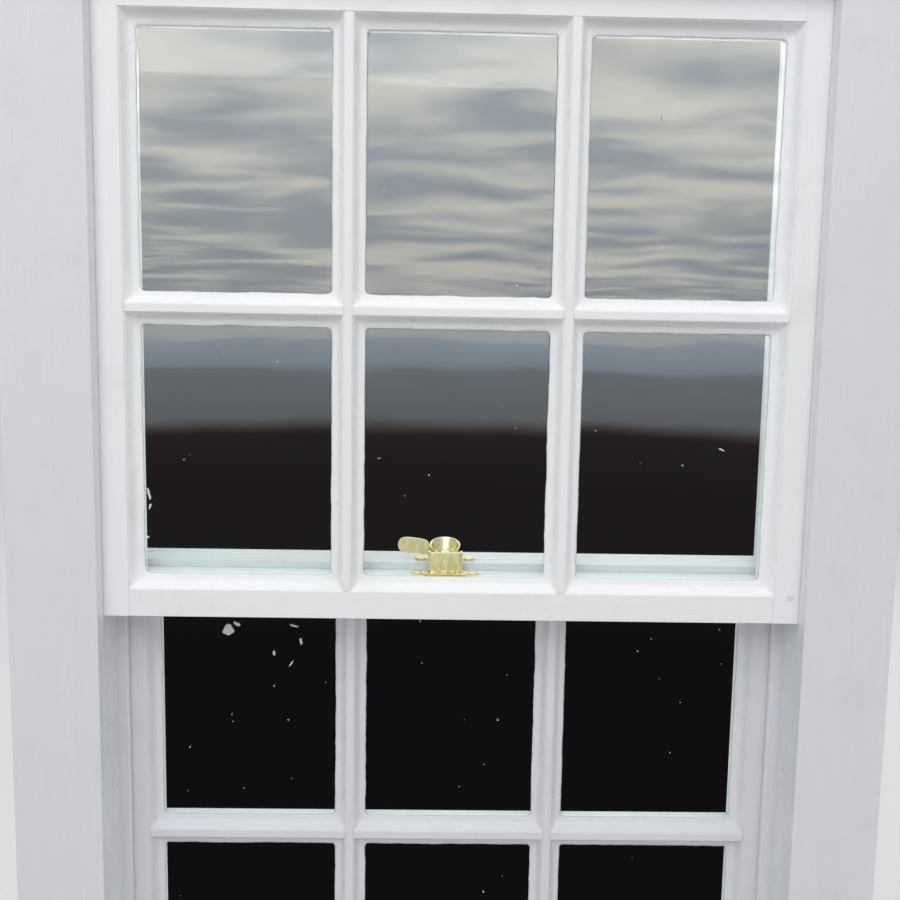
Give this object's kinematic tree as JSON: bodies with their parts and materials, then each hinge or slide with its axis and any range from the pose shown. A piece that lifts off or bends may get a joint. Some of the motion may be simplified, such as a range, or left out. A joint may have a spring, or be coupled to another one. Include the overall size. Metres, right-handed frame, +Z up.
{
  "type": "box sash window",
  "caption": "Timber box sash window with small-paned double-hung sashes, cords, pulleys and weights inside its case, and a brass cam fastener on the meeting rails.",
  "frame": {"origin": "on the underside of the sill, midway across the window, in the plane of the outer linings' outside face", "axes": "+X across the window, to the right seen from outside; +Y from the outside into the room; +Z up"},
  "size_m": [0.876, 0.193, 1.3559],
  "materials": {
    "white_paint": "semi-gloss white oil paint over timber",
    "bare_softwood": "unpainted planed softwood",
    "glass": "clear sheet glass",
    "painted_putty": "painted glazing putty",
    "brass": "polished brass, slightly tarnished",
    "pin_steel": "plain steel",
    "cast_iron": "rough cast iron",
    "cord": "waxed cotton braid"
  },
  "bodies": {
    "case": {"sill": "white_paint", "head": "white_paint", "pulley_stile_left": "white_paint", "pulley_stile_right": "white_paint", "outer_lining_left": "white_paint", "outer_lining_right": "white_paint", "outer_lining_head": "white_paint", "inner_lining_left": "white_paint", "inner_lining_right": "white_paint", "inner_lining_head": "white_paint", "back_linings": "bare_softwood", "parting_bead_left": "white_paint", "parting_bead_right": "white_paint", "parting_bead_head": "white_paint", "staff_bead_left": "white_paint", "staff_bead_right": "white_paint", "staff_bead_head": "white_paint", "staff_bead_sill": "white_paint", "mid_feathers": "bare_softwood", "pocket_piece_left": "white_paint", "pocket_piece_right": "white_paint", "upper_pulley_frames": "brass", "lower_pulley_frames": "brass", "pulley_pins": "pin_steel", "cord_bends": "cord", "upper_sash_cords": "cord", "lower_sash_cords": "cord", "upper_weight_cord_left": "cord", "upper_weight_cord_right": "cord", "lower_weight_cord_left": "cord", "lower_weight_cord_right": "cord"},
    "upper_sash": {"upper_stile_left": "white_paint", "upper_stile_right": "white_paint", "upper_top_rail": "white_paint", "upper_meeting_rail": "white_paint", "upper_upright_bars": "white_paint", "upper_cross_bars": "white_paint", "upper_panes": "glass", "upper_putty": "painted_putty", "keep": "brass"},
    "lower_sash": {"lower_stile_left": "white_paint", "lower_stile_right": "white_paint", "lower_bottom_rail": "white_paint", "lower_meeting_rail": "white_paint", "lower_upright_bars": "white_paint", "lower_cross_bars": "white_paint", "lower_panes": "glass", "lower_putty": "painted_putty", "cam_base": "brass", "cam_rivet": "brass"},
    "cam": {"cam_lever": "brass"},
    "upper_weight_left": {"upper_weight_left": "cast_iron"},
    "upper_wheel_left": {"upper_wheel_left": "brass"},
    "upper_weight_right": {"upper_weight_right": "cast_iron"},
    "upper_wheel_right": {"upper_wheel_right": "brass"},
    "lower_weight_left": {"lower_weight_left": "cast_iron"},
    "lower_wheel_left": {"lower_wheel_left": "brass"},
    "lower_weight_right": {"lower_weight_right": "cast_iron"},
    "lower_wheel_right": {"lower_wheel_right": "brass"}
  },
  "joints": [
    {"name": "upper_sash_slide", "type": "slide", "parent": "case", "child": "upper_sash", "axis": [0, 0, -1], "range_m": [0, 0.5], "deforming": ["upper_sash_cords"]},
    {"name": "upper_weight_left_slide", "type": "slide", "parent": "case", "child": "upper_weight_left", "axis": [0, 0, 1], "range_m": [0, 0.5], "deforming": ["upper_weight_cord_left"]},
    {"name": "upper_wheel_left_turn", "type": "hinge", "parent": "case", "child": "upper_wheel_left", "pos_m": [-0.3728, 0.042, 1.18387], "axis": [0, 1, 0], "range_deg": [0, 1111]},
    {"name": "upper_weight_right_slide", "type": "slide", "parent": "case", "child": "upper_weight_right", "axis": [0, 0, 1], "range_m": [0, 0.5], "deforming": ["upper_weight_cord_right"]},
    {"name": "upper_wheel_right_turn", "type": "hinge", "parent": "case", "child": "upper_wheel_right", "pos_m": [0.3728, 0.042, 1.18387], "axis": [0, -1, 0], "range_deg": [0, 1111]},
    {"name": "lower_sash_slide", "type": "slide", "parent": "case", "child": "lower_sash", "axis": [0, 0, 1], "range_m": [0, 0.5], "deforming": ["lower_sash_cords"]},
    {"name": "lower_weight_left_slide", "type": "slide", "parent": "case", "child": "lower_weight_left", "axis": [0, 0, -1], "range_m": [0, 0.5], "deforming": ["lower_weight_cord_left"]},
    {"name": "lower_wheel_left_turn", "type": "hinge", "parent": "case", "child": "lower_wheel_left", "pos_m": [-0.3728, 0.098, 1.18387], "axis": [0, -1, 0], "range_deg": [0, 1111]},
    {"name": "lower_weight_right_slide", "type": "slide", "parent": "case", "child": "lower_weight_right", "axis": [0, 0, -1], "range_m": [0, 0.5], "deforming": ["lower_weight_cord_right"]},
    {"name": "lower_wheel_right_turn", "type": "hinge", "parent": "case", "child": "lower_wheel_right", "pos_m": [0.3728, 0.098, 1.18387], "axis": [0, 1, 0], "range_deg": [0, 1111]},
    {"name": "cam_turn", "type": "hinge", "parent": "lower_sash", "child": "cam", "pos_m": [-0.0085, 0.084, 0.72737], "axis": [0, 0, -1], "range_deg": [0, 180]}
  ],
  "couplings": [
    {"joint": "upper_weight_left_slide", "follows": "upper_sash_slide", "ratio": 1},
    {"joint": "upper_wheel_left_turn", "follows": "upper_sash_slide", "rad_per_m": 38.76},
    {"joint": "upper_weight_right_slide", "follows": "upper_sash_slide", "ratio": 1},
    {"joint": "upper_wheel_right_turn", "follows": "upper_sash_slide", "rad_per_m": 38.76},
    {"joint": "lower_weight_left_slide", "follows": "lower_sash_slide", "ratio": 1},
    {"joint": "lower_wheel_left_turn", "follows": "lower_sash_slide", "rad_per_m": 38.76},
    {"joint": "lower_weight_right_slide", "follows": "lower_sash_slide", "ratio": 1},
    {"joint": "lower_wheel_right_turn", "follows": "lower_sash_slide", "rad_per_m": 38.76}
  ]
}
